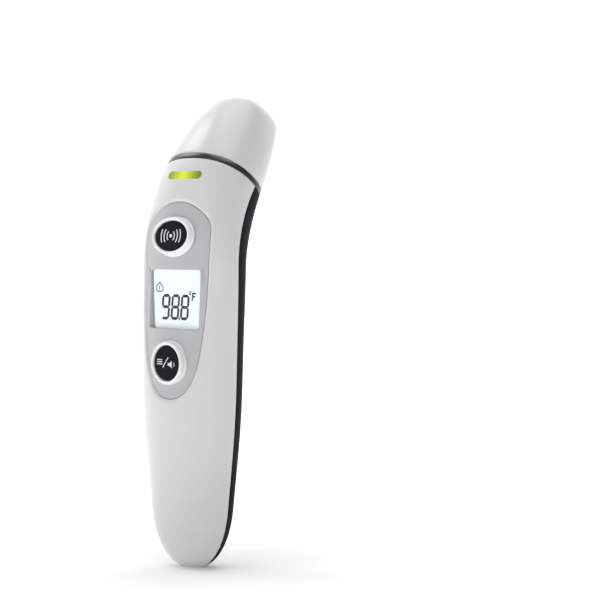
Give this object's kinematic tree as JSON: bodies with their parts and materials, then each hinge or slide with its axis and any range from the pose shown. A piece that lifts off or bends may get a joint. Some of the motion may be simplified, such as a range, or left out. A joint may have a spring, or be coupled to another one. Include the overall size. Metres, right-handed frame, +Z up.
{
  "type": "digital thermometer",
  "caption": "Handheld infrared thermometer with a leaning head, pull-off forehead cap over an ear probe, sunk panel with display and two raised buttons.",
  "frame": {"origin": "centre of the small flat foot at the handle's lower end", "axes": "+Z up along the handle, buttons face -Y, +X to the right when facing the buttons"},
  "size_m": [0.0413, 0.0433, 0.1548],
  "materials": {
    "white_shell": "satin-gloss moulded plastic",
    "charcoal_shell": "satin, very fine grain",
    "black_ring": "polished",
    "grey_panel": "fine satin",
    "clear_window": "polished clear plastic",
    "lcd": "lit display",
    "white_holder": "moulded",
    "elastomer": "matt",
    "black_button": "fine speckle",
    "switch_metal": "stamped",
    "circuit_board": "solder mask",
    "black_component": "moulded",
    "ceramic_component": "fired",
    "ivory_connector": "moulded",
    "tray_plastic": "moulded",
    "cell_wrap": "printed film",
    "nickel_spring": "nickel plate",
    "screw_steel": "zinc plate",
    "probe_black": "satin",
    "sensor_glass": "coated",
    "sleeve_brass": "turned",
    "flat_lead": "polyimide film",
    "green_lens": "translucent, lit",
    "led_yellow": "moulded"
  },
  "bodies": {
    "handset": {"front_cover": "white_shell", "scan_button_ring": "white_shell", "memory_button_ring": "white_shell", "rear_cover": "charcoal_shell", "head_ring": "black_ring", "control_panel": "grey_panel", "display_window": "clear_window", "lcd_glass": "lcd", "lcd_backlight": "white_holder", "lcd_connector_strips": "elastomer", "scan_switch": "switch_metal", "memory_switch": "switch_metal", "main_board": "circuit_board", "sensor_board": "circuit_board", "led_board": "circuit_board", "controller_chip": "black_component", "buzzer": "black_component", "board_components": "ceramic_component", "lead_connector": "ivory_connector", "battery_tray": "tray_plastic", "battery_left": "cell_wrap", "battery_right": "cell_wrap", "battery_springs": "nickel_spring", "battery_contacts": "nickel_spring", "case_screws": "screw_steel", "probe_housing": "probe_black", "probe_gasket": "elastomer", "sensor_window": "sensor_glass", "thermopile_sensor": "nickel_spring", "sensor_sleeve": "sleeve_brass", "sensor_lead": "flat_lead", "indicator_lens": "green_lens", "indicator_leds": "led_yellow"},
    "cap": {"forehead_cap": "white_shell"},
    "scan_key": {"scan_button": "black_button", "scan_switch_plunger": "black_button"},
    "memory_key": {"memory_button": "black_button", "memory_switch_plunger": "black_button"},
    "battery_door": {"battery_cover": "charcoal_shell"}
  },
  "joints": [
    {"name": "cap_pull", "type": "slide", "parent": "handset", "child": "cap", "axis": [0, 0.6293, 0.7771], "range_m": [0, 0.035]},
    {"name": "scan_press", "type": "slide", "parent": "handset", "child": "scan_key", "axis": [0, 0.9903, -0.1392], "range_m": [0, 0.0006], "stiffness_N_per_m": 2000, "springref_m": -0.0003},
    {"name": "memory_press", "type": "slide", "parent": "handset", "child": "memory_key", "axis": [0, 1, 0], "range_m": [0, 0.0006], "stiffness_N_per_m": 2000, "springref_m": -0.0003},
    {"name": "battery_cover_swing", "type": "hinge", "parent": "handset", "child": "battery_door", "pos_m": [0, 0.00837, 0.012], "axis": [-1, 0, 0], "range_deg": [0, 80]}
  ]
}
